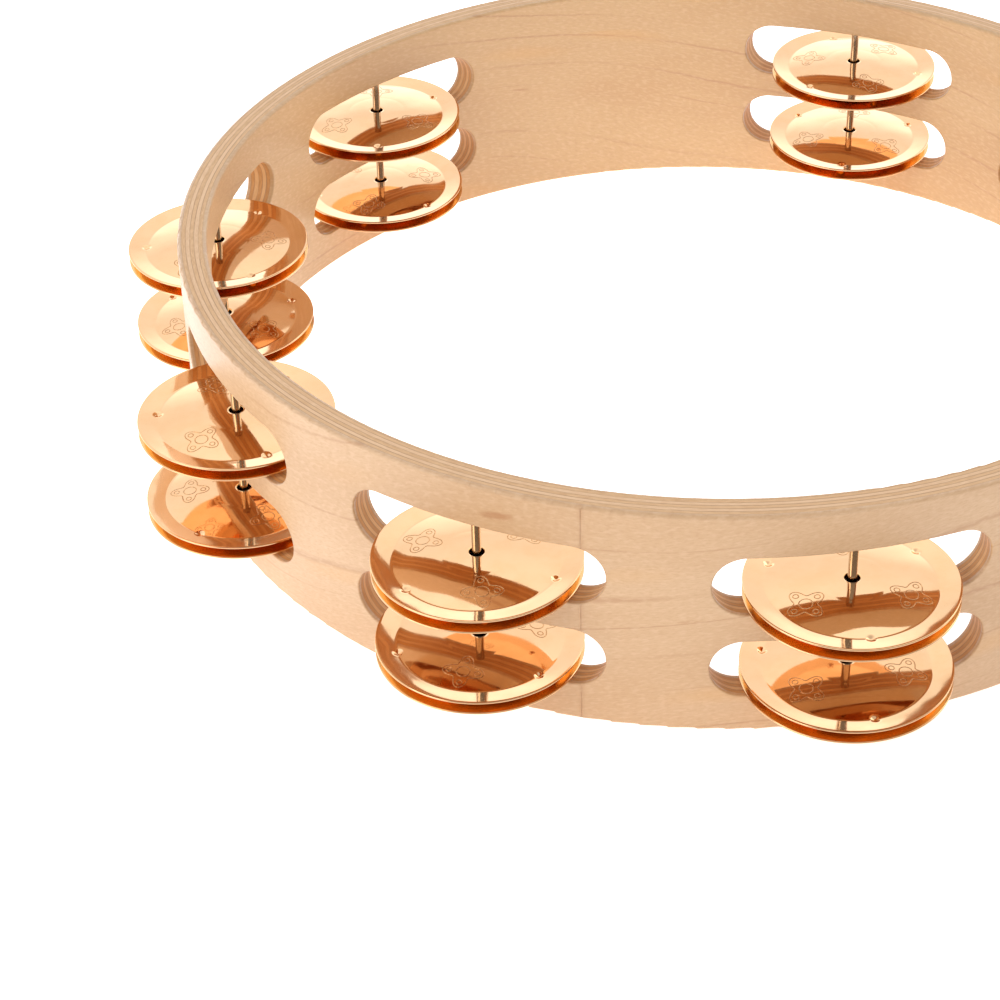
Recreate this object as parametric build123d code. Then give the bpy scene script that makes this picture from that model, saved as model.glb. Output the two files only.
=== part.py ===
from build123d import *
import os
from math import cos, radians, sin, sqrt

# A headless tambourine: a bent plywood ring with two rows of slots, and in each
# slot a pair of thin bronze jingles that rattle up and down a steel pin.
# Frame: origin at the centre of the ring's bottom edge, +Z up along the ring's
# axis, and +Y towards the hand grip, the stretch of wall without slots. Millimetres.

# ---- driving dimensions -------------------------------------------------------

OUTER_RADIUS = 127.0      # a 10 inch ring
FRAME_HEIGHT = 56.0
PLY_COUNT = 7             # counted from the inside face outwards
PLY_THICKNESS = 1.0
EDGE_ROUNDING = 0.8       # long edges of the two face plies
SLOT_ROUNDING = 0.4       # slot edges of the two face plies
SEAM_ANGLE = 244.4        # butt joint of the outer ply
SEAM_WIDTH = 0.3
SEAM_DEPTH = 0.1

POSITION_COUNT = 9        # pin positions round the ring
FIRST_ANGLE = 123.0       # just past the grip, anticlockwise from +X
ANGLE_STEP = 36.75

SLOT_LENGTH = 59.0        # end to end, with full round ends
SLOT_HEIGHT = 14.5
SLOT_FLOORS = {"low": 9.5, "high": 31.0}

PIN_RADIUS = 1.0
PIN_BOTTOM = 0.3          # sunk a little into the bottom edge
PIN_TOP = 51.5            # blind in the top band
PIN_HEAD_RADIUS = 1.4
PIN_HEAD_HEIGHT = 0.8

JINGLE_RADIUS = 22.5
JINGLE_THICKNESS = 0.45
JINGLE_HOLE_RADIUS = 1.65
CREASE_RADIUS = 18.0      # where the dome meets the flared flange
CREASE_DROP = 0.6         # crease below the rim, at mid-thickness
DOME_RISE = 1.0           # centre above the rim, at mid-thickness
BOSS_COUNT = 3            # dimples pressed along the crease, to hold a pair apart
BOSS_DEPTH = 1.0          # below the crease, towards the other jingle
BOSS_TIP_RADIUS = 0.9
BOSS_SLOPE = 0.65         # gain in radius for each millimetre from the tip
RIM_GAP = 2.83            # between the two rims of a pair, at mid-thickness
FLOOR_CLEARANCE = 0.15    # under the lower jingle's dome

# How far each pair happens to be turned about its pin, from position 1 on.
HIGH_TURNS = (20, 12, 90, 92, 116, 9, 51, 88, 35)
LOW_TURNS = (64, 95, 34, 71, 3, 45, 110, 26, 70)
MATE_TURN = 60            # so that bosses never meet bosses

# ---- worked-out dimensions ----------------------------------------------------

INNER_RADIUS = OUTER_RADIUS - PLY_COUNT * PLY_THICKNESS
PIN_CIRCLE_RADIUS = (OUTER_RADIUS + INNER_RADIUS) / 2
CUT_DEPTH = 30.0          # slot cutters reach well past both faces of the wall
CUT_PROUD = 1.0           # other cutters stand this far out of what they cut
LOWER_RIM_RISE = FLOOR_CLEARANCE + JINGLE_THICKNESS / 2 + DOME_RISE
BOSS_ROOT_HEIGHT = -CREASE_DROP + 0.4 * JINGLE_THICKNESS    # just under the top skin
PIT_MOUTH_HEIGHT = -CREASE_DROP + 2 * JINGLE_THICKNESS      # clear above the top skin


def position_angle(position):
    return FIRST_ANGLE + ANGLE_STEP * (position - 1)


def on_ring(angle, radius, height):
    return (radius * cos(radians(angle)), radius * sin(radians(angle)), height)


# ---- wooden ring --------------------------------------------------------------

def slot_cutter(angle, floor):
    """A stadium, extruded straight along the radius through the wall."""
    middle = on_ring(angle, PIN_CIRCLE_RADIUS, floor + SLOT_HEIGHT / 2)
    along_wall = (-sin(radians(angle)), cos(radians(angle)), 0)
    outward = (cos(radians(angle)), sin(radians(angle)), 0)
    outline = SlotOverall(SLOT_LENGTH, SLOT_HEIGHT)
    plane = Plane(origin=middle, x_dir=along_wall, z_dir=outward)
    return extrude(plane * outline, amount=CUT_DEPTH / 2, both=True)


def round_bar(radius, bottom, top, angle):
    """An upright cylinder on the pin circle."""
    x, y, _ = on_ring(angle, PIN_CIRCLE_RADIUS, 0)
    return Pos(x, y, (bottom + top) / 2) * Cylinder(radius, top - bottom)


def pin_drilling(angle):
    shank_hole = round_bar(PIN_RADIUS, 0, PIN_TOP, angle)
    head_hole = round_bar(PIN_HEAD_RADIUS, 0, PIN_BOTTOM + PIN_HEAD_HEIGHT, angle)
    return shank_hole + head_hole


def seam_cutter():
    """The hairline groove where the outer ply's two ends meet."""
    radius = OUTER_RADIUS + (CUT_PROUD - SEAM_DEPTH) / 2
    x, y, z = on_ring(SEAM_ANGLE, radius, FRAME_HEIGHT / 2)
    groove = Box(SEAM_DEPTH + CUT_PROUD, SEAM_WIDTH, FRAME_HEIGHT + 2 * CUT_PROUD)
    return Pos(x, y, z) * Rot(0, 0, SEAM_ANGLE) * groove


def hoop(inner, outer):
    """One bare ply, standing on its edge."""
    raise_up = Pos(0, 0, FRAME_HEIGHT / 2)
    return raise_up * (Cylinder(outer, FRAME_HEIGHT) - Cylinder(inner, FRAME_HEIGHT))


def edges_on_face(shape, radius, low, high):
    """Edges that lie on the cylinder of that radius and between two heights."""
    def on_face(point):
        off_face = abs(sqrt(point.X**2 + point.Y**2) - radius)
        return off_face < 1e-3 and low < point.Z < high

    return [
        edge for edge in shape.edges()
        if all(on_face(edge @ part) for part in (0, 0.5, 1))
    ]


def ease_edges(ply, face_radius, slots):
    """Round a face ply's two long edges, cut its slots and round those too."""
    rims = [
        edge for edge in ply.edges().filter_by(GeomType.CIRCLE)
        if abs(edge.radius - face_radius) < 1e-6
    ]
    ply = fillet(rims, EDGE_ROUNDING) - slots
    lowest, highest = 2 * EDGE_ROUNDING, FRAME_HEIGHT - 2 * EDGE_ROUNDING
    return fillet(edges_on_face(ply, face_radius, lowest, highest), SLOT_ROUNDING)


def make_ply(number, slots, drillings):
    inner = INNER_RADIUS + (number - 1) * PLY_THICKNESS
    outer = inner + PLY_THICKNESS
    ply = hoop(inner, outer)
    if number == 1:
        ply = ease_edges(ply, inner, slots)
    elif number == PLY_COUNT:
        ply = ease_edges(ply, outer, slots) - seam_cutter()
    else:
        ply = ply - slots
    pin_inside = PIN_CIRCLE_RADIUS - PIN_HEAD_RADIUS
    pin_outside = PIN_CIRCLE_RADIUS + PIN_HEAD_RADIUS
    if outer > pin_inside and inner < pin_outside:
        ply = ply - drillings
    return ply


# ---- pin and jingles ----------------------------------------------------------

def make_pin(angle):
    shank = round_bar(PIN_RADIUS, PIN_BOTTOM, PIN_TOP, angle)
    head = round_bar(PIN_HEAD_RADIUS, PIN_BOTTOM, PIN_BOTTOM + PIN_HEAD_HEIGHT, angle)
    return shank + head


def dome_height(radius):
    """Mid-thickness height of the dome above the rim, an arc through the crease."""
    fall = DOME_RISE + CREASE_DROP
    sphere = (CREASE_RADIUS**2 + fall**2) / (2 * fall)
    return DOME_RISE - sphere + sqrt(sphere**2 - radius**2)


def jingle_skin(offset):
    """Half of the section's skin: three points of the dome's arc, then the rim."""
    middle_radius = (JINGLE_HOLE_RADIUS + CREASE_RADIUS) / 2
    return [
        (JINGLE_HOLE_RADIUS, dome_height(JINGLE_HOLE_RADIUS) + offset),
        (middle_radius, dome_height(middle_radius) + offset),
        (CREASE_RADIUS, -CREASE_DROP + offset),
        (JINGLE_RADIUS, offset),
    ]


def boss_cone(tip_radius, bottom, top):
    """A cone on its blunt tip, widening upwards."""
    height = top - bottom
    cone = Cone(tip_radius, tip_radius + BOSS_SLOPE * height, height)
    return Pos(0, 0, bottom + height / 2) * cone


def make_upper_jingle():
    """Dome up, rim at mid-thickness on the XY plane, bosses pressed downwards."""
    top = jingle_skin(JINGLE_THICKNESS / 2)
    bottom = jingle_skin(-JINGLE_THICKNESS / 2)
    outline = [
        ThreePointArc(*top[:3]),
        Line(top[2], top[3]),
        Line(top[3], bottom[3]),
        Line(bottom[3], bottom[2]),
        ThreePointArc(*reversed(bottom[:3])),
        Line(bottom[0], top[0]),
    ]
    section = Plane.XZ * make_face(outline)
    disc = revolve(section, Axis.Z)

    tip = -CREASE_DROP - JINGLE_THICKNESS / 2 - BOSS_DEPTH
    boss = boss_cone(BOSS_TIP_RADIUS, tip, BOSS_ROOT_HEIGHT)
    pit = boss_cone(BOSS_TIP_RADIUS - JINGLE_THICKNESS / 2, tip + JINGLE_THICKNESS, PIT_MOUTH_HEIGHT)
    for place in PolarLocations(CREASE_RADIUS, BOSS_COUNT):
        disc = disc + place * boss
    for place in PolarLocations(CREASE_RADIUS, BOSS_COUNT):
        disc = disc - place * pit
    return disc


def place_jingle(jingle, angle, rim_height, turn):
    x, y, z = on_ring(angle, PIN_CIRCLE_RADIUS, rim_height)
    return Pos(x, y, z) * Rot(0, 0, angle + turn) * jingle


# ---- everything, one file a piece ---------------------------------------------

os.makedirs("parts", exist_ok=True)
positions = range(1, POSITION_COUNT + 1)
all_slots = [
    slot_cutter(position_angle(position), floor)
    for position in positions
    for floor in SLOT_FLOORS.values()
]
all_drillings = [pin_drilling(position_angle(position)) for position in positions]

for number in range(1, PLY_COUNT + 1):
    role = {1: "inner_face", PLY_COUNT: "outer_face"}.get(number, f"core_{number - 1}")
    ply = make_ply(number, all_slots, all_drillings)
    export_step(ply, f"parts/ply_{role}.step")

upper_jingle = make_upper_jingle()
lower_jingle = mirror(upper_jingle, about=Plane.XY)
for position in positions:
    angle = position_angle(position)
    export_step(make_pin(angle), f"parts/pin_{position}.step")
    for row, turns in (("high", HIGH_TURNS), ("low", LOW_TURNS)):
        lower_rim = SLOT_FLOORS[row] + LOWER_RIM_RISE
        turn = turns[position - 1]
        upper = place_jingle(upper_jingle, angle, lower_rim + RIM_GAP, turn)
        lower = place_jingle(lower_jingle, angle, lower_rim, turn + MATE_TURN)
        export_step(upper, f"parts/jingle_{position}_{row}_upper.step")
        export_step(lower, f"parts/jingle_{position}_{row}_lower.step")
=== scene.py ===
import math

import bpy
from mathutils import Matrix, Vector, noise


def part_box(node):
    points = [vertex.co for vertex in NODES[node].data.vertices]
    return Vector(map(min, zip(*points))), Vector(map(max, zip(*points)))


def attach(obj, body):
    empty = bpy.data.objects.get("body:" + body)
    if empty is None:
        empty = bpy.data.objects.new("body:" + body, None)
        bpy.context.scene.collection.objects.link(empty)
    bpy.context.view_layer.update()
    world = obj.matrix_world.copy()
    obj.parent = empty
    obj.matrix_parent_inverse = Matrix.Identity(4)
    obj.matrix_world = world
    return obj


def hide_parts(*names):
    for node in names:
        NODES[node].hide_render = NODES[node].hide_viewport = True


# A headless double-row tambourine. The wooden plies and the pins are the CAD's own
# meshes with wood and steel materials; every jingle is a finer mesh built here.
# Lengths are in metres unless a name ends in _MM.

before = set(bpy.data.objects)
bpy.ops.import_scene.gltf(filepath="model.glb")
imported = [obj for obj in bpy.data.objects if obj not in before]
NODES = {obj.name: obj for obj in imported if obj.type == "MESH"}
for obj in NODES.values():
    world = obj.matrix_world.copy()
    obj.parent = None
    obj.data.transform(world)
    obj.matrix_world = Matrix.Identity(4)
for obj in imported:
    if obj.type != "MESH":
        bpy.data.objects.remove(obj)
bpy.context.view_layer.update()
MM = 0.001

POSITIONS = range(1, 10)
ROWS = ("high", "low")
PLY_COUNT = 7
OUTER_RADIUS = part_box("ply_outer_face")[1].x
PLY_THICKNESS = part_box("ply_core_2")[1].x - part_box("ply_core_1")[1].x
INNER_RADIUS = OUTER_RADIUS - PLY_COUNT * PLY_THICKNESS
FRAME_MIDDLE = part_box("ply_outer_face")[1].z / 2
EDGE_ROUNDING = 0.8 * MM                     # of the face plies' long edges
ON_THE_WALL = 0.01 * MM                      # a point nearer than this is on the wall's face
SLOTS_MIDDLE = 27.5 * MM                     # half way up the two rows of slots
SLOT_SHADE_REACH = 20 * MM                       # from there, the slots' painted shade
SLOT_SHADE_FADE = 23 * MM
SEAM_ANGLE = math.radians(244.4 - 360.0)     # where the outer ply's two ends meet
GRAIN_CLIMB = 0.16                           # rise of the veneer's grain along the wall
LINES_PER_METRE = 92.0                       # growth lines counted up the wall
GLUE_BROWN = (0.40, 0.205, 0.105, 1.0)

# the studio: what mirrors see of the surround, what matt surfaces get, floor and lamps
FRONT_LIGHT = 0.34
BACK_LIGHT = 1.28
CEILING_LIGHT = 0.36                         # added overhead
HORIZON_LIGHT = 0.7                          # added low at the back
EVEN_LIGHT = 0.77
FRONT_FLOOR_GLOW = 0.55
BACK_FLOOR_GLOW = 1.10
KEY_WATTS = 7.0
FILL_WATTS = 3.0

# the camera
CAMERA_PLACE = (-0.13553, -0.52007, 0.35751)
CAMERA_HEADING = math.radians(9.025)         # clockwise from +Y
CAMERA_DIP = math.radians(35.911)
CAMERA_ROLL = math.radians(-1.722)
CAMERA_LENS = 91.9                           # on a 36 mm sensor


# ---- node-tree helpers ----------------------------------------------------------

class Nodes:
    """A node tree, with short calls for the nodes used below."""

    def __init__(self, tree):
        self.tree = tree

    def add(self, kind, **settings):
        node = self.tree.nodes.new(kind)
        for key, value in settings.items():
            setattr(node, key, value)
        return node

    def feed(self, socket, value):
        """Link a socket, or set its default where the value is plain."""
        if isinstance(value, bpy.types.NodeSocket):
            self.tree.links.new(value, socket)
        elif value is not None:
            socket.default_value = value

    def math(self, operation, a, b=None, c=None):
        node = self.add("ShaderNodeMath", operation=operation)
        for socket, value in zip(node.inputs, (a, b, c)):
            self.feed(socket, value)
        return node.outputs[0]

    def object_point(self):
        point = self.add("ShaderNodeTexCoord").outputs["Object"]
        split = self.add("ShaderNodeSeparateXYZ")
        self.feed(split.inputs[0], point)
        return point, split.outputs

    def combine(self, x, y, z=0.0):
        node = self.add("ShaderNodeCombineXYZ")
        for socket, value in zip(node.inputs, (x, y, z)):
            self.feed(socket, value)
        return node.outputs[0]

    def noise(self, vector, scale, detail=2.0, roughness=0.5):
        node = self.add("ShaderNodeTexNoise")
        self.feed(node.inputs["Vector"], vector)
        node.inputs["Scale"].default_value = scale
        node.inputs["Detail"].default_value = detail
        node.inputs["Roughness"].default_value = roughness
        return node.outputs["Fac"]

    def ramp(self, value, low, high, to_low=0.0, to_high=1.0):
        """Map a range smoothly onto another, clamped."""
        node = self.add("ShaderNodeMapRange", interpolation_type="SMOOTHSTEP")
        for socket, number in zip(node.inputs, (value, low, high, to_low, to_high)):
            self.feed(socket, number)
        return node.outputs[0]

    def mix(self, factor, first, second, blend="MIX"):
        node = self.add("ShaderNodeMix", data_type="RGBA", blend_type=blend)
        self.feed(node.inputs[0], factor)
        self.feed(node.inputs[6], first)
        self.feed(node.inputs[7], second)
        return node.outputs[2]

    def bump(self, height, distance, strength):
        node = self.add("ShaderNodeBump")
        node.inputs["Strength"].default_value = strength
        node.inputs["Distance"].default_value = distance
        self.feed(node.inputs["Height"], height)
        return node.outputs[0]

    def wall_coordinates(self):
        """Distance along the wall, height and radius in metres, and the angle."""
        _, xyz = self.object_point()
        angle = self.math("ARCTAN2", xyz[1], xyz[0])
        along = self.math("MULTIPLY", angle, OUTER_RADIUS)
        squares = self.math("ADD", self.math("MULTIPLY", xyz[0], xyz[0]),
                            self.math("MULTIPLY", xyz[1], xyz[1]))
        return along, xyz[2], self.math("SQRT", squares), angle


class Surface(Nodes):
    """The nodes of a new material, with its shader."""

    def __init__(self, name):
        self.material = bpy.data.materials.new(name)
        self.material.use_nodes = True
        super().__init__(self.material.node_tree)
        self.shader = self.tree.nodes["Principled BSDF"]


def colour(red, green, blue):
    return (red, green, blue, 1.0)


# ---- materials ------------------------------------------------------------------

def maple_face(name, drift, light, deep):
    """Pale maple veneer: a silky sheen painted as pale flecks, thin growth lines, short flecks,
    mineral spots.
    """
    n = Surface(name)
    along, height, _, angle = n.wall_coordinates()
    line_brown, spot_brown = colour(0.42, 0.190, 0.075), colour(0.40, 0.160, 0.050)

    # the ground, warmer and paler in broad patches
    patch = n.noise(n.combine(n.math("MULTIPLY", along, 0.35), height, drift), 38.0, 3.0)
    wood = n.mix(n.ramp(patch, 0.36, 0.64), deep, light)

    # growth lines: level curves of a height that drifts slowly and climbs along the wall
    gentle = n.combine(n.math("MULTIPLY", along, 0.55), height, drift)
    slow = n.math("MULTIPLY_ADD", n.noise(gentle, 13.0, 1.0), 0.032, height)
    level = n.math("MULTIPLY_ADD", along, -GRAIN_CLIMB, slow)
    spread = n.noise(n.combine(0.0, level, drift), 70.0, 1.0)
    shiver = n.noise(n.combine(n.math("MULTIPLY", along, 0.5), level, drift), 260.0, 2.0)
    count = n.math("MULTIPLY_ADD", level, LINES_PER_METRE, n.math("MULTIPLY", spread, 1.6))
    count = n.math("MULTIPLY_ADD", shiver, 0.07, count)
    saw = n.math("FRACT", count)
    line = n.ramp(n.math("ABSOLUTE", n.math("SUBTRACT", saw, 0.5)), 0.0, 0.055, 1.0, 0.0)
    shade = n.ramp(saw, 0.50, 0.12, 0.0, 1.0)
    shade = n.math("MULTIPLY", shade, n.ramp(saw, 0.50, 0.52, 1.0, 0.0))
    broken = n.noise(n.combine(n.math("MULTIPLY", along, 0.5), level, drift + 1.0), 45.0, 2.0)
    line = n.math("MULTIPLY", line, n.ramp(broken, 0.38, 0.58, 0.10, 0.80))
    wood = n.mix(n.math("MULTIPLY", shade, 0.08), wood, colour(0.52, 0.285, 0.135))
    wood = n.mix(n.math("MULTIPLY", line, 0.66), wood, line_brown)

    # short flecks along the grain: dark ones, and pale ones that are a painted sheen
    fleck = n.noise(n.combine(n.math("MULTIPLY", along, 0.25), level, drift), 2900.0, 2.0, 0.6)
    sheen_noise = n.noise(n.combine(n.math("MULTIPLY", along, 0.35), level, drift + 3.0), 1500.0, 2.0)
    wood = n.mix(n.ramp(fleck, 0.46, 0.66, 0.0, 0.38), wood, colour(0.50, 0.270, 0.125))
    wood = n.mix(n.ramp(sheen_noise, 0.46, 0.68, 0.0, 0.26), wood, colour(0.74, 0.500, 0.300))

    # rare mineral spots, lens shaped along the grain, some with an orange haze
    cell = n.add("ShaderNodeTexVoronoi", feature="F1")
    n.feed(cell.inputs["Vector"], n.combine(n.math("MULTIPLY", along, 0.20), level, drift))
    cell.inputs["Scale"].default_value = 130.0
    pick = n.add("ShaderNodeSeparateColor")
    n.feed(pick.inputs[0], cell.outputs["Color"])
    torn = n.math("MULTIPLY_ADD", sheen_noise, 0.05, cell.outputs["Distance"])
    spot = n.math("MULTIPLY", n.ramp(torn, 0.07, 0.15, 1.0, 0.0),
                  n.math("GREATER_THAN", pick.outputs[0], 0.84))
    haze = n.math("MULTIPLY", n.ramp(torn, 0.10, 0.55, 1.0, 0.0),
                  n.math("GREATER_THAN", pick.outputs[1], 0.76))
    wood = n.mix(n.math("MULTIPLY", haze, 0.26), wood, colour(0.68, 0.340, 0.090))
    wood = n.mix(n.math("MULTIPLY", spot, 0.62), wood, spot_brown)

    # the glue line where the ply's two ends meet
    off_angle = n.math("ABSOLUTE", n.math("SUBTRACT", angle, SEAM_ANGLE))
    off_seam = n.math("MULTIPLY", off_angle, OUTER_RADIUS)
    wood = n.mix(n.ramp(off_seam, 0.3 * MM, 0.9 * MM, 0.17, 0.0), wood, line_brown)
    n.feed(n.shader.inputs["Base Color"], wood)

    n.feed(n.shader.inputs["Roughness"], n.ramp(fleck, 0.3, 0.7, 0.42, 0.54))
    n.shader.inputs["Specular IOR Level"].default_value = 0.4
    n.shader.inputs["Coat Weight"].default_value = 0.6
    n.shader.inputs["Coat Roughness"].default_value = 0.30
    relief = n.math("SUBTRACT", n.math("MULTIPLY", fleck, 0.5), n.math("MULTIPLY", line, 0.4))
    n.feed(n.shader.inputs["Normal"], n.bump(relief, 0.00006, 0.6))
    return n.material


def ply_edge(name, number, light, dark, slot_shade_tint):
    """A core ply, seen only at its sanded edges and in the slot walls."""
    n = Surface(name)
    along, height, radius, _ = n.wall_coordinates()
    point = n.combine(n.math("MULTIPLY", along, 0.16), n.math("MULTIPLY", height, 0.22), radius)
    fibre = n.noise(point, 2600.0, 3.0, 0.6)
    coarse = n.noise(point, 900.0, 2.0)
    broad = n.noise(n.combine(along, n.math("MULTIPLY", height, 0.4), 2.7 * number), 30.0, 3.0)
    wood = n.mix(n.ramp(fibre, 0.36, 0.66), light, dark)
    wood = n.mix(n.ramp(coarse, 0.42, 0.70, 0.0, 0.50), wood, dark)
    wood = n.mix(n.ramp(broad, 0.42, 0.68, 0.0, 0.55), wood, light)

    # painted shade: the slot walls, recessed in the ring, are multiplied to a deeper, redder brown
    off_slots = n.math("ABSOLUTE", n.math("SUBTRACT", height, SLOTS_MIDDLE))
    slot_shade = n.ramp(off_slots, SLOT_SHADE_REACH, SLOT_SHADE_FADE, 1.0, 0.0)
    wood = n.mix(slot_shade, wood, slot_shade_tint, "MULTIPLY")

    # the thin brown glue lines on both its faces, fainter in places
    middle = INNER_RADIUS + (number + 0.5) * PLY_THICKNESS
    off_middle = n.math("ABSOLUTE", n.math("SUBTRACT", radius, middle))
    glue = n.ramp(off_middle, 0.34 * MM, 0.47 * MM, 0.0, 0.85)
    wood = n.mix(n.math("MULTIPLY", glue, n.ramp(broad, 0.35, 0.60, 0.25, 1.0)), wood, GLUE_BROWN)
    n.feed(n.shader.inputs["Base Color"], wood)
    n.shader.inputs["Roughness"].default_value = 0.55
    n.shader.inputs["Specular IOR Level"].default_value = 0.35
    n.feed(n.shader.inputs["Normal"], n.bump(n.math("ADD", fibre, coarse), 0.00012, 0.6))
    return n.material


def polished_bronze(name, bright, deep, smooth, hazy):
    """Phosphor bronze with faint handling haze and hairline scratches."""
    n = Surface(name)
    point, _ = n.object_point()
    haze = n.noise(point, 160.0, 4.0, 0.6)
    n.feed(n.shader.inputs["Base Color"], n.mix(n.ramp(haze, 0.35, 0.7), bright, deep))
    n.shader.inputs["Metallic"].default_value = 1.0
    n.feed(n.shader.inputs["Roughness"], n.ramp(haze, 0.3, 0.75, smooth, hazy))
    scratch = None
    for turn in (0.35, 1.9):
        mapping = n.add("ShaderNodeMapping")
        n.feed(mapping.inputs["Vector"], point)
        mapping.inputs["Rotation"].default_value = (0.0, 0.0, turn)
        mapping.inputs["Scale"].default_value = (1.0, 0.02, 1.0)
        grain = n.ramp(n.noise(mapping.outputs[0], 5200.0, 2.0, 0.6), 0.62, 0.75)
        scratch = grain if scratch is None else n.math("ADD", scratch, grain)
    n.feed(n.shader.inputs["Normal"], n.bump(scratch, 0.000004, 0.25))
    return n.material


def stamped_line():
    """Bronze darkened along a stamped outline: partly tarnish, partly the stamped groove's shade
    painted on its raised line.
    """
    n = Surface("stamped_line")
    point, _ = n.object_point()
    tarnish_and_shade = n.noise(point, 900.0, 2.0)
    # two dark bronzes: tarnish, and painted shade standing for the stamped groove
    n.feed(n.shader.inputs["Base Color"],
           n.mix(n.ramp(tarnish_and_shade, 0.35, 0.65), colour(0.62, 0.34, 0.150), colour(0.46, 0.220, 0.080)))
    n.shader.inputs["Metallic"].default_value = 1.0
    n.feed(n.shader.inputs["Roughness"], n.ramp(tarnish_and_shade, 0.3, 0.7, 0.16, 0.30))
    return n.material


def bright_steel():
    n = Surface("bright_steel")
    _, xyz = n.object_point()
    drawn = n.noise(n.combine(xyz[0], xyz[1], n.math("MULTIPLY", xyz[2], 0.02)), 6000.0, 2.0)
    n.feed(n.shader.inputs["Base Color"],
           n.mix(n.ramp(drawn, 0.3, 0.7), colour(0.70, 0.62, 0.53), colour(0.56, 0.48, 0.39)))
    n.shader.inputs["Metallic"].default_value = 1.0
    n.feed(n.shader.inputs["Roughness"], n.ramp(drawn, 0.3, 0.7, 0.10, 0.22))
    n.feed(n.shader.inputs["Normal"], n.bump(drawn, 0.00001, 0.3))
    return n.material


def white_floor():
    """White and aglow, more so under the ring and behind it than in front."""
    n = Surface("studio_floor")
    point, xyz = n.object_point()
    mottle = n.noise(point, 6.0, 2.0)
    n.feed(n.shader.inputs["Base Color"],
           n.mix(mottle, colour(0.93, 0.93, 0.93), colour(0.95, 0.95, 0.95)))
    n.shader.inputs["Roughness"].default_value = 0.9
    n.shader.inputs["Specular IOR Level"].default_value = 0.1
    n.shader.inputs["Emission Color"].default_value = colour(1.0, 1.0, 1.0)
    glow = n.ramp(xyz[1], -0.18, 0.0, FRONT_FLOOR_GLOW, BACK_FLOOR_GLOW)
    n.feed(n.shader.inputs["Emission Strength"], glow)
    return n.material


def dress(node, material):
    mesh = NODES[node].data
    mesh.materials.clear()
    mesh.materials.append(material)


def true_normals(node, face_radius, side):
    """Shade a face ply's wall and its two rounded long edges by their exact shape.

    side is 1 where the face looks outwards and -1 where it looks inwards.
    """
    mesh = NODES[node].data
    points = [vertex.co.copy() for vertex in mesh.vertices]
    corners = [loop.vertex_index for loop in mesh.loops]
    normals = [corner.vector.copy() for corner in mesh.corner_normals]
    for polygon in mesh.polygons:
        facing = polygon.normal.copy()
        for loop in polygon.loop_indices:
            point = points[corners[loop]]
            inward = (face_radius - point.xy.length) * side
            rise = point.z - FRAME_MIDDLE
            past = abs(rise) - (FRAME_MIDDLE - EDGE_ROUNDING)
            if past < 0 and inward > ON_THE_WALL:
                continue
            radial = Vector((point.x, point.y, 0.0)).normalized() * side
            lift = math.copysign(max(0.0, past), rise)
            exact = radial * max(0.0, EDGE_ROUNDING - inward) + Vector((0.0, 0.0, lift))
            exact.normalize()
            if facing.dot(exact) > 0.5:
                normals[loop] = exact
    mesh.normals_split_custom_set(normals)


def dress_frame():
    outer = maple_face("maple_outer", 0.0, colour(0.620, 0.388, 0.207), colour(0.570, 0.338, 0.166))
    # the inner face's maple is a darker, less blue copy of the outer's: painted shade for the inside
    # of the ring
    inner_shaded = maple_face("maple_inner_shaded", 7.3, colour(0.590, 0.360, 0.165), colour(0.540, 0.308, 0.130))
    dress("ply_outer_face", outer)
    dress("ply_inner_face", inner_shaded)
    true_normals("ply_outer_face", OUTER_RADIUS, 1)
    true_normals("ply_inner_face", INNER_RADIUS, -1)
    # the third colour of each kind is the slot walls' painted shade, multiplied in
    cross = (colour(0.72, 0.450, 0.235), colour(0.60, 0.350, 0.170), colour(0.90, 0.72, 0.50))
    long = (colour(0.78, 0.515, 0.300), colour(0.69, 0.425, 0.230), colour(1.0, 0.88, 0.66))
    for core in range(1, PLY_COUNT - 1):
        kind, colours = ("cross", cross) if core % 2 else ("long", long)
        dress(f"ply_core_{core}", ply_edge(f"{kind}_ply_{core}", core, *colours))
    steel = bright_steel()
    for position in POSITIONS:
        dress(f"pin_{position}", steel)


# ---- jingles --------------------------------------------------------------------

# The CAD jingle's profile with a steeper flange, in millimetres about its own centre.
RIM_R_MM = 22.5
THICK_MM = 0.45
HOLE_R_MM = 1.65
CREASE_R_MM = 18.0
CREASE_DROP_MM = 0.82
DOME_RISE_MM = 0.85
BOSS_DEPTH_MM = 0.50
BOSS_TIP_MM = 1.825        # from the rim's middle to the tip of the CAD boss
BOSS_REACH_MM = 1.60       # radius of a boss where it leaves the sheet
PIT_DEPTH_MM = 0.45        # the same dimple seen from above is smaller and softer
PIT_REACH_MM = 1.30
HOLLOW_DEPTH_MM = 0.09     # the sheet also sinks a little, widely, round a dimple
HOLLOW_REACH_MM = 4.2
CREASE_SOFTNESS_MM = 0.030
SEAT_R_MM = 7.6            # a faint ring left by the press round the centre
SEAT_DEPTH_MM = 0.018
SEAT_WIDTH_MM = 0.55
WAVE_MM = 0.075            # waviness of the thin sheet
HOLE_LIP_MM = 0.12         # rounding of the pin hole's edge
MARK_R_MM = 12.6           # where the stamped marks sit

# how far each pair is turned about its pin, in degrees, as in the CAD
HIGH_TURNS = (20, 12, 90, 92, 116, 9, 51, 88, 35)
LOW_TURNS = (64, 95, 34, 71, 3, 45, 110, 26, 70)
MATE_TURN = 60
DIMPLES = [math.radians(120 * k) for k in range(3)]
MARKS = [math.radians(120 * k + 60) for k in range(3)]


def smoothstep(low, high, x):
    t = min(1.0, max(0.0, (x - low) / (high - low)))
    return t * t * (3 - 2 * t)


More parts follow.
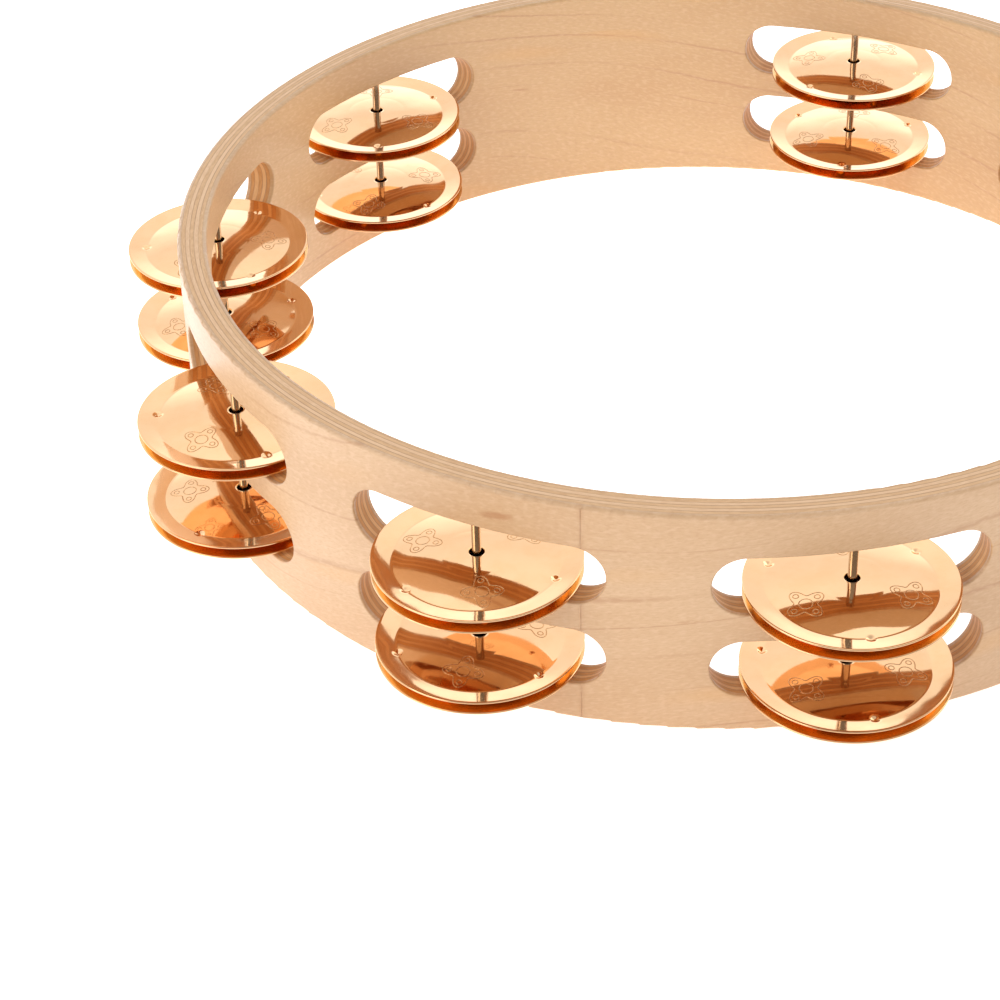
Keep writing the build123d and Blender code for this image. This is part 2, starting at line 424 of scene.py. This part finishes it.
def section_height(r):
    """Mid-thickness height over the rim: a shallow dome, a soft crease, a flared flange."""
    fall = DOME_RISE_MM + CREASE_DROP_MM
    sphere = (CREASE_R_MM**2 + fall**2) / (2 * fall)
    dome = DOME_RISE_MM - sphere + math.sqrt(sphere**2 - r * r)
    flange = -CREASE_DROP_MM * (RIM_R_MM - r) / (RIM_R_MM - CREASE_R_MM)
    soft = CREASE_SOFTNESS_MM
    high = max(dome, flange)
    blend = high + soft * math.log(math.exp((dome - high) / soft) + math.exp((flange - high) / soft))
    return blend - SEAT_DEPTH_MM * math.exp(-((r - SEAT_R_MM) / SEAT_WIDTH_MM) ** 2)


def sheet_height(x, y, seed, depth, reach):
    """The pressed sheet with its dimples and the slight waviness of thin metal."""
    r = math.hypot(x, y)
    z = section_height(r)
    for angle in DIMPLES:
        away = math.hypot(x - CREASE_R_MM * math.cos(angle), y - CREASE_R_MM * math.sin(angle))
        z -= depth * (1 - smoothstep(0.0, reach, away))
        z -= HOLLOW_DEPTH_MM * math.exp(-(away / HOLLOW_REACH_MM) ** 2)
    inside = 1 - smoothstep(19.0, 22.0, r)
    wave = noise.noise(Vector((x * 0.085, y * 0.085, seed)))
    wave += 0.35 * noise.noise(Vector((x * 0.2, y * 0.2, seed + 9)))
    return z + WAVE_MM * wave * inside


def top_height(x, y, seed):
    return sheet_height(x, y, seed, PIT_DEPTH_MM, PIT_REACH_MM) + THICK_MM / 2


def underside_height(x, y, seed):
    return sheet_height(x, y, seed, BOSS_DEPTH_MM, BOSS_REACH_MM) - THICK_MM / 2


def ring_angles():
    """Fine steps round the dimples and even ones between them."""
    fine, near = math.radians(0.4), math.radians(5.6)
    angles = []
    for centre in DIMPLES:
        steps = round(2 * near / fine)
        angles += [centre - near + 2 * near * k / steps for k in range(steps)]
        gap, wide = math.radians(120) - 2 * near, 42
        angles += [centre + near + gap * k / wide for k in range(wide)]
    return angles


def top_radii():
    """From the hole to the rim, fine across the crease and the dimples."""
    radii = [HOLE_R_MM + HOLE_LIP_MM, 2.2, 3.0, 4.0, 5.2, 6.4, 7.1, 7.35, 7.6, 7.85, 8.1]
    radii += [9.0, 10.2, 11.4, 12.6, 13.8, 15.0, 16.0]
    radii += [16.35 + 0.17 * k for k in range(20)]
    radii += [20.0, 20.6, 21.3, 21.9, RIM_R_MM - THICK_MM / 2]
    return radii


def underside_radii():
    """The same span in fewer steps, as it is hardly seen."""
    radii = [HOLE_R_MM + HOLE_LIP_MM, 3.0, 5.0, 8.0, 11.0, 14.0]
    radii += [16.0 + 0.35 * k for k in range(12)]
    radii += [20.4, 21.3, RIM_R_MM - THICK_MM / 2]
    return radii


def arc_steps(degrees):
    """The angles strictly inside a half turn, in even steps."""
    return [math.radians(a) for a in range(degrees, 180, degrees)]


POLISHED, STAMPED, INSIDE = range(3)          # a jingle's material slots


def jingle_grid(seed):
    """Closed skin of a dome-up jingle: top out to the rim, round it, and back underneath.

    Returns the points, the faces and each face's material slot.
    """
    half = THICK_MM / 2
    top, under = top_radii(), underside_radii()
    rim, edge = top[-1], top[0]
    round_rim = [(rim + half * math.sin(a), half * math.cos(a)) for a in arc_steps(30)]
    round_hole = [(edge - HOLE_LIP_MM * math.sin(a), -half * math.cos(a)) for a in arc_steps(45)]
    angles = ring_angles()
    verts, faces, slots = [], [], []
    for angle in angles:
        c, s = math.cos(angle), math.sin(angle)
        rim_middle = top_height(rim * c, rim * s, seed) - half
        hole_middle = top_height(edge * c, edge * s, seed) - half
        path = [(r, top_height(r * c, r * s, seed)) for r in top]
        path += [(r, rim_middle + lift) for r, lift in round_rim]
        path += [(r, underside_height(r * c, r * s, seed)) for r in reversed(under)]
        path += [(r, hole_middle + lift) for r, lift in round_hole]
        verts += [(r * c, r * s, z) for r, z in path]
    rows, turns = len(path), len(angles)
    first_under = len(top) + len(round_rim)
    for i in range(turns):
        j = (i + 1) % turns
        for k in range(rows):
            m = (k + 1) % rows
            faces.append((i * rows + k, i * rows + m, j * rows + m, j * rows + k))
            slots.append(INSIDE if k >= first_under else POLISHED)
    return verts, faces, slots


def petals(reach, depth, count, points=72):
    """A closed outline with that many soft petals, or a plain ring where depth is 0."""
    turns = [2 * math.pi * k / points for k in range(points)]
    radii = [reach + depth * math.cos(count * a) for a in turns]
    return [(r * math.cos(a), r * math.sin(a)) for r, a in zip(radii, turns)]


def mark_outlines():
    """A plain rosette: a four-petal outline, a ring in its middle, a bead in each petal."""
    outlines = [petals(3.45, 1.05, 4), petals(1.45, 0.0, 1)]
    bead, bead_circle = petals(0.60, 0.0, 1, 18), 3.1
    for a in (math.radians(90 * k) for k in range(4)):
        dx, dy = bead_circle * math.cos(a), bead_circle * math.sin(a)
        outlines.append([(x + dx, y + dy) for x, y in bead])
    return outlines


def add_ridge(verts, faces, outline, seed):
    """A thin raised line along a closed outline, standing on the sheet's top face."""
    half_width, tall, sunk = 0.14, 0.045, 0.015
    profile = ((-1.0, -sunk), (-0.5, 0.75 * tall), (0.0, tall), (0.5, 0.75 * tall), (1.0, -sunk))
    width = len(profile)
    count = len(outline)
    start = len(verts)
    for k in range(count):
        x, y = outline[k]
        px, py = outline[k - 1]
        nx, ny = outline[(k + 1) % count]
        length = math.hypot(nx - px, ny - py)
        ox, oy = (ny - py) / length, -(nx - px) / length
        for side, lift in profile:
            sx, sy = x + ox * side * half_width, y + oy * side * half_width
            verts.append((sx, sy, top_height(sx, sy, seed) + lift))
    for k in range(count):
        a, b = start + width * k, start + width * ((k + 1) % count)
        for m in range(width):
            o = (m + 1) % width
            faces.append((a + m, b + m, b + o, a + o))


def jingle_mesh(name, seed, dome_up):
    """One jingle about its own centre; a lower one is an upper one upside down."""
    verts, faces, slots = jingle_grid(seed)
    for centre in MARKS:
        c, s = math.cos(centre), math.sin(centre)
        for outline in mark_outlines():
            placed = [((MARK_R_MM + v) * c - u * s, (MARK_R_MM + v) * s + u * c) for u, v in outline]
            add_ridge(verts, faces, placed, seed)
    flip = 1.0 if dome_up else -1.0
    mesh = bpy.data.meshes.new(name)
    mesh.from_pydata([(x * MM, y * MM, z * MM * flip) for x, y, z in verts], [], faces)
    if not dome_up:
        mesh.flip_normals()
    mesh.update()
    mesh.shade_smooth()
    slots += [STAMPED] * (len(faces) - len(slots))
    mesh.polygons.foreach_set("material_index", slots)
    return mesh


def jingle_metals():
    """The materials in the order of the slots."""
    bright, deep = colour(0.790, 0.485, 0.258), colour(0.765, 0.455, 0.230)
    dull, deeper = colour(0.800, 0.490, 0.205), colour(0.720, 0.420, 0.155)
    polished = polished_bronze("polished_bronze", bright, deep, 0.035, 0.10)
    stamped = stamped_line()
    return polished, stamped, polished_bronze("dull_bronze", dull, deeper, 0.12, 0.22)


def place_jingles():
    """Each jingle goes where its CAD node is, turned as that one is, and rides on its body."""
    metals = jingle_metals()
    seed = 0.0
    for position in POSITIONS:
        for row, turns in zip(ROWS, (HIGH_TURNS, LOW_TURNS)):
            for half in ("upper", "lower"):
                node = f"jingle_{position}_{row}_{half}"
                low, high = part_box(node)
                centre = (low + high) / 2
                outward = math.atan2(centre.y, centre.x)
                extra = 0 if half == "upper" else MATE_TURN
                turn = outward + math.radians(turns[position - 1] + extra)
                rim = low.z + BOSS_TIP_MM * MM if half == "upper" else high.z - BOSS_TIP_MM * MM
                seed += 3.7
                mesh = jingle_mesh(f"bronze_{node}", seed, half == "upper")
                spot = Matrix.Translation((centre.x, centre.y, rim))
                mesh.transform(spot @ Matrix.Rotation(turn, 4, "Z"))
                for metal in metals:
                    mesh.materials.append(metal)
                piece = bpy.data.objects.new(f"bronze_{node}", mesh)
                bpy.context.collection.objects.link(piece)
                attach(piece, node)
                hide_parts(node)


# ---- studio ---------------------------------------------------------------------

def build_floor():
    """A plain white plane, a hair below the ring so that they never share a surface."""
    size, drop = 6.0, 0.0002
    mesh = bpy.data.meshes.new("floor")
    corners = [(-size, -size, 0), (size, -size, 0), (size, size, 0), (-size, size, 0)]
    mesh.from_pydata(corners, [], [(0, 1, 2, 3)])
    mesh.materials.append(white_floor())
    floor = bpy.data.objects.new("floor", mesh)
    bpy.context.collection.objects.link(floor)
    floor.location.z = -drop


def softbox(name, position, size, watts, tint):
    """A square soft lamp that points at the middle of the ring's bottom edge."""
    light = bpy.data.lights.new(name, "AREA")
    light.size = size
    light.energy = watts
    light.color = tint
    lamp = bpy.data.objects.new(name, light)
    bpy.context.collection.objects.link(lamp)
    lamp.location = position
    lamp.rotation_euler = (-Vector(position)).to_track_quat("-Z", "Y").to_euler()


def light_studio():
    """A white surround, brightest low behind the ring, with soft lamps left and right.

    The bright back and the dim front are what the bronze mirrors. Matt surfaces get
    the same light from all round, so that the wood keeps its colour on every side.
    """
    world = bpy.data.worlds.new("studio")
    bpy.context.scene.world = world
    world.use_nodes = True
    n = Nodes(world.node_tree)
    background = n.tree.nodes["Background"]
    split = n.add("ShaderNodeSeparateXYZ")
    n.feed(split.inputs[0], n.add("ShaderNodeTexCoord").outputs["Generated"])
    across, rise = split.outputs["Y"], split.outputs["Z"]
    surround = n.ramp(across, -0.5, 0.45, FRONT_LIGHT, BACK_LIGHT)
    ceiling = n.ramp(rise, 0.45, 1.0, 0.0, CEILING_LIGHT)
    low_down = n.ramp(rise, 0.25, 0.50, HORIZON_LIGHT, 0.0)
    horizon = n.math("MULTIPLY", n.ramp(across, 0.2, 0.8), low_down)
    seen = n.math("ADD", n.math("ADD", surround, ceiling), horizon)
    diffuse = n.add("ShaderNodeLightPath").outputs["Is Diffuse Ray"]
    soften = n.math("MULTIPLY", diffuse, n.math("SUBTRACT", EVEN_LIGHT, seen))
    strength = n.math("ADD", seen, soften)
    n.feed(background.inputs["Strength"], strength)
    background.inputs["Color"].default_value = colour(1.0, 1.035, 1.10)
    softbox("key", (-1.2, -0.55, 0.8), 0.9, KEY_WATTS, (1.0, 0.98, 0.95))
    softbox("fill", (1.3, 0.35, 0.9), 0.8, FILL_WATTS, (1.0, 0.97, 0.93))
    scene = bpy.context.scene
    scene.view_settings.view_transform = "Standard"
    scene.cycles.max_bounces = 16
    scene.cycles.glossy_bounces = 8
    scene.cycles.diffuse_bounces = 6


def build_camera():
    """From above and in front of the ring, with its near left wall in the middle."""
    ch, sh = math.cos(CAMERA_HEADING), math.sin(CAMERA_HEADING)
    cd, sd = math.cos(CAMERA_DIP), math.sin(CAMERA_DIP)
    forward = Vector((cd * sh, cd * ch, -sd))
    level_right = Vector((ch, -sh, 0.0))
    level_up = level_right.cross(forward)
    cr, sr = math.cos(CAMERA_ROLL), math.sin(CAMERA_ROLL)
    right = level_right * cr + level_up * sr
    up = level_up * cr - level_right * sr
    turn = Matrix((right, up, -forward)).transposed()
    camera = bpy.data.cameras.new("camera")
    camera.lens = CAMERA_LENS
    camera.sensor_width = 36.0
    camera.clip_start, camera.clip_end = 0.01, 50.0
    holder = bpy.data.objects.new("camera", camera)
    holder.matrix_world = Matrix.Translation(CAMERA_PLACE) @ turn.to_4x4()
    bpy.context.collection.objects.link(holder)
    bpy.context.scene.camera = holder


build_camera()
light_studio()
build_floor()
dress_frame()
place_jingles()
